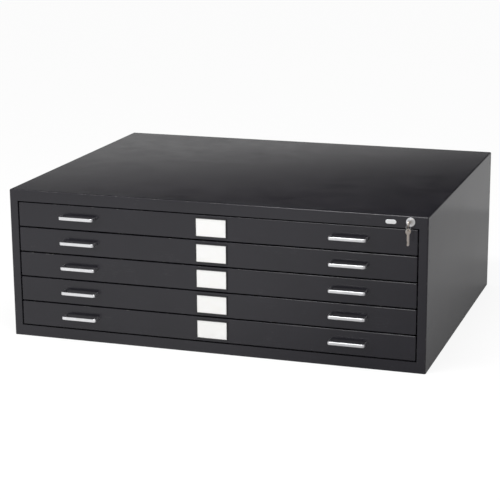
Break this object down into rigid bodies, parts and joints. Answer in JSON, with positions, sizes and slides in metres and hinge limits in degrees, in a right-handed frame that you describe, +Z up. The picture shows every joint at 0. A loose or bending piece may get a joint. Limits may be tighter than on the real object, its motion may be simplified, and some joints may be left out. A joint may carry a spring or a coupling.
{
  "type": "flat file cabinet",
  "caption": "Low steel flat file cabinet with shallow sliding drawers for large sheets, bar handles, label holders and a keyed lock.",
  "frame": {"origin": "middle of the underside, where the base pan stands on the floor", "axes": "+X along the width, to the right seen from the front; the drawers open towards -Y; +Z up"},
  "size_m": [1.1778, 0.9332, 0.4191],
  "materials": {
    "black_paint": "satin",
    "chrome": "polished",
    "zinc": "satin zinc plate",
    "nylon": "matte",
    "card_stock": "matte",
    "holder_steel": "satin",
    "key_metal": "nickel plated, worn",
    "badge_metal": "satin"
  },
  "bodies": {
    "case": {"case_wrapper": "black_paint", "base_pan": "black_paint", "back_panel": "black_paint", "front_frame": "black_paint", "left_runner_panel": "zinc", "right_runner_panel": "zinc", "badge_plate": "badge_metal", "lock_housing": "chrome", "lock_nut": "zinc"},
    "lock_core": {"lock_plug": "chrome", "lock_cam": "zinc"},
    "lock_bar": {"lock_bar": "zinc"},
    "key": {"key": "key_metal"},
    "key_ring": {"key_ring": "zinc"},
    "spare_key": {"spare_key": "key_metal"},
    "drawer_1": {"drawer_1_tray": "black_paint", "drawer_1_front": "black_paint", "drawer_1_label_holder": "holder_steel", "drawer_1_label_card": "card_stock", "drawer_1_handle_left": "chrome", "drawer_1_handle_right": "chrome"},
    "depressor_1": {"drawer_1_depressor": "black_paint"},
    "roller_left_1": {"front_roller_left_1": "nylon"},
    "roller_right_1": {"front_roller_right_1": "nylon"},
    "drawer_2": {"drawer_2_tray": "black_paint", "drawer_2_front": "black_paint", "drawer_2_label_holder": "holder_steel", "drawer_2_label_card": "card_stock", "drawer_2_handle_left": "chrome", "drawer_2_handle_right": "chrome"},
    "depressor_2": {"drawer_2_depressor": "black_paint"},
    "roller_left_2": {"front_roller_left_2": "nylon"},
    "roller_right_2": {"front_roller_right_2": "nylon"},
    "drawer_3": {"drawer_3_tray": "black_paint", "drawer_3_front": "black_paint", "drawer_3_label_holder": "holder_steel", "drawer_3_label_card": "card_stock", "drawer_3_handle_left": "chrome", "drawer_3_handle_right": "chrome"},
    "depressor_3": {"drawer_3_depressor": "black_paint"},
    "roller_left_3": {"front_roller_left_3": "nylon"},
    "roller_right_3": {"front_roller_right_3": "nylon"},
    "drawer_4": {"drawer_4_tray": "black_paint", "drawer_4_front": "black_paint", "drawer_4_label_holder": "holder_steel", "drawer_4_label_card": "card_stock", "drawer_4_handle_left": "chrome", "drawer_4_handle_right": "chrome"},
    "depressor_4": {"drawer_4_depressor": "black_paint"},
    "roller_left_4": {"front_roller_left_4": "nylon"},
    "roller_right_4": {"front_roller_right_4": "nylon"},
    "drawer_5": {"drawer_5_tray": "black_paint", "drawer_5_front": "black_paint", "drawer_5_label_holder": "holder_steel", "drawer_5_label_card": "card_stock", "drawer_5_handle_left": "chrome", "drawer_5_handle_right": "chrome"},
    "depressor_5": {"drawer_5_depressor": "black_paint"},
    "roller_left_5": {"front_roller_left_5": "nylon"},
    "roller_right_5": {"front_roller_right_5": "nylon"}
  },
  "joints": [
    {"name": "drawer_1_slide", "type": "slide", "parent": "case", "child": "drawer_1", "axis": [0, -1, 0], "range_m": [0, 0.692]},
    {"name": "depressor_1_hinge", "type": "hinge", "parent": "drawer_1", "child": "depressor_1", "pos_m": [0, -0.4222, 0.363], "axis": [1, 0, 0], "range_deg": [0, 30]},
    {"name": "roller_left_1_spin", "type": "hinge", "parent": "case", "child": "roller_left_1", "pos_m": [-0.5555, -0.3992, 0.34475], "axis": [1, 0, 0], "range_deg": [0, 4406]},
    {"name": "roller_right_1_spin", "type": "hinge", "parent": "case", "child": "roller_right_1", "pos_m": [0.5555, -0.3992, 0.34475], "axis": [1, 0, 0], "range_deg": [0, 4406]},
    {"name": "drawer_2_slide", "type": "slide", "parent": "case", "child": "drawer_2", "axis": [0, -1, 0], "range_m": [0, 0.692]},
    {"name": "depressor_2_hinge", "type": "hinge", "parent": "drawer_2", "child": "depressor_2", "pos_m": [0, -0.4222, 0.29215], "axis": [1, 0, 0], "range_deg": [0, 30]},
    {"name": "roller_left_2_spin", "type": "hinge", "parent": "case", "child": "roller_left_2", "pos_m": [-0.5555, -0.3992, 0.2739], "axis": [1, 0, 0], "range_deg": [0, 4406]},
    {"name": "roller_right_2_spin", "type": "hinge", "parent": "case", "child": "roller_right_2", "pos_m": [0.5555, -0.3992, 0.2739], "axis": [1, 0, 0], "range_deg": [0, 4406]},
    {"name": "drawer_3_slide", "type": "slide", "parent": "case", "child": "drawer_3", "axis": [0, -1, 0], "range_m": [0, 0.692]},
    {"name": "depressor_3_hinge", "type": "hinge", "parent": "drawer_3", "child": "depressor_3", "pos_m": [0, -0.4222, 0.2213], "axis": [1, 0, 0], "range_deg": [0, 30]},
    {"name": "roller_left_3_spin", "type": "hinge", "parent": "case", "child": "roller_left_3", "pos_m": [-0.5555, -0.3992, 0.20305], "axis": [1, 0, 0], "range_deg": [0, 4406]},
    {"name": "roller_right_3_spin", "type": "hinge", "parent": "case", "child": "roller_right_3", "pos_m": [0.5555, -0.3992, 0.20305], "axis": [1, 0, 0], "range_deg": [0, 4406]},
    {"name": "drawer_4_slide", "type": "slide", "parent": "case", "child": "drawer_4", "axis": [0, -1, 0], "range_m": [0, 0.692]},
    {"name": "depressor_4_hinge", "type": "hinge", "parent": "drawer_4", "child": "depressor_4", "pos_m": [0, -0.4222, 0.15045], "axis": [1, 0, 0], "range_deg": [0, 30]},
    {"name": "roller_left_4_spin", "type": "hinge", "parent": "case", "child": "roller_left_4", "pos_m": [-0.5555, -0.3992, 0.1322], "axis": [1, 0, 0], "range_deg": [0, 4406]},
    {"name": "roller_right_4_spin", "type": "hinge", "parent": "case", "child": "roller_right_4", "pos_m": [0.5555, -0.3992, 0.1322], "axis": [1, 0, 0], "range_deg": [0, 4406]},
    {"name": "drawer_5_slide", "type": "slide", "parent": "case", "child": "drawer_5", "axis": [0, -1, 0], "range_m": [0, 0.692]},
    {"name": "depressor_5_hinge", "type": "hinge", "parent": "drawer_5", "child": "depressor_5", "pos_m": [0, -0.4222, 0.0796], "axis": [1, 0, 0], "range_deg": [0, 30]},
    {"name": "roller_left_5_spin", "type": "hinge", "parent": "case", "child": "roller_left_5", "pos_m": [-0.5555, -0.3992, 0.06135], "axis": [1, 0, 0], "range_deg": [0, 4406]},
    {"name": "roller_right_5_spin", "type": "hinge", "parent": "case", "child": "roller_right_5", "pos_m": [0.5555, -0.3992, 0.06135], "axis": [1, 0, 0], "range_deg": [0, 4406]},
    {"name": "lock_turn", "type": "hinge", "parent": "case", "child": "lock_core", "pos_m": [0.54235, -0.44925, 0.4041], "axis": [0, -1, 0], "range_deg": [0, 90]},
    {"name": "lock_bar_lift", "type": "slide", "parent": "case", "child": "lock_bar", "axis": [0, 0, 1], "range_m": [0, 0.00707]},
    {"name": "key_pull", "type": "slide", "parent": "lock_core", "child": "key", "axis": [0, -1, 0], "range_m": [0, 0.016]},
    {"name": "ring_swing", "type": "hinge", "parent": "key", "child": "key_ring", "pos_m": [0.54235, -0.47655, 0.40245], "axis": [1, 0, 0], "range_deg": [-90, 10]},
    {"name": "spare_key_hang", "type": "hinge", "parent": "key_ring", "child": "spare_key", "pos_m": [0.54235, -0.47655, 0.39645], "axis": [0, -1, 0], "range_deg": [-90, 0]}
  ],
  "couplings": [
    {"joint": "roller_left_1_spin", "follows": "drawer_1_slide", "rad_per_m": 111.11},
    {"joint": "roller_right_1_spin", "follows": "drawer_1_slide", "rad_per_m": 111.11},
    {"joint": "roller_left_2_spin", "follows": "drawer_2_slide", "rad_per_m": 111.11},
    {"joint": "roller_right_2_spin", "follows": "drawer_2_slide", "rad_per_m": 111.11},
    {"joint": "roller_left_3_spin", "follows": "drawer_3_slide", "rad_per_m": 111.11},
    {"joint": "roller_right_3_spin", "follows": "drawer_3_slide", "rad_per_m": 111.11},
    {"joint": "roller_left_4_spin", "follows": "drawer_4_slide", "rad_per_m": 111.11},
    {"joint": "roller_right_4_spin", "follows": "drawer_4_slide", "rad_per_m": 111.11},
    {"joint": "roller_left_5_spin", "follows": "drawer_5_slide", "rad_per_m": 111.11},
    {"joint": "roller_right_5_spin", "follows": "drawer_5_slide", "rad_per_m": 111.11},
    {"joint": "lock_turn", "follows": "lock_bar_lift", "rad_per_m": 222.18},
    {"joint": "spare_key_hang", "follows": "lock_bar_lift", "rad_per_m": -222.18}
  ]
}
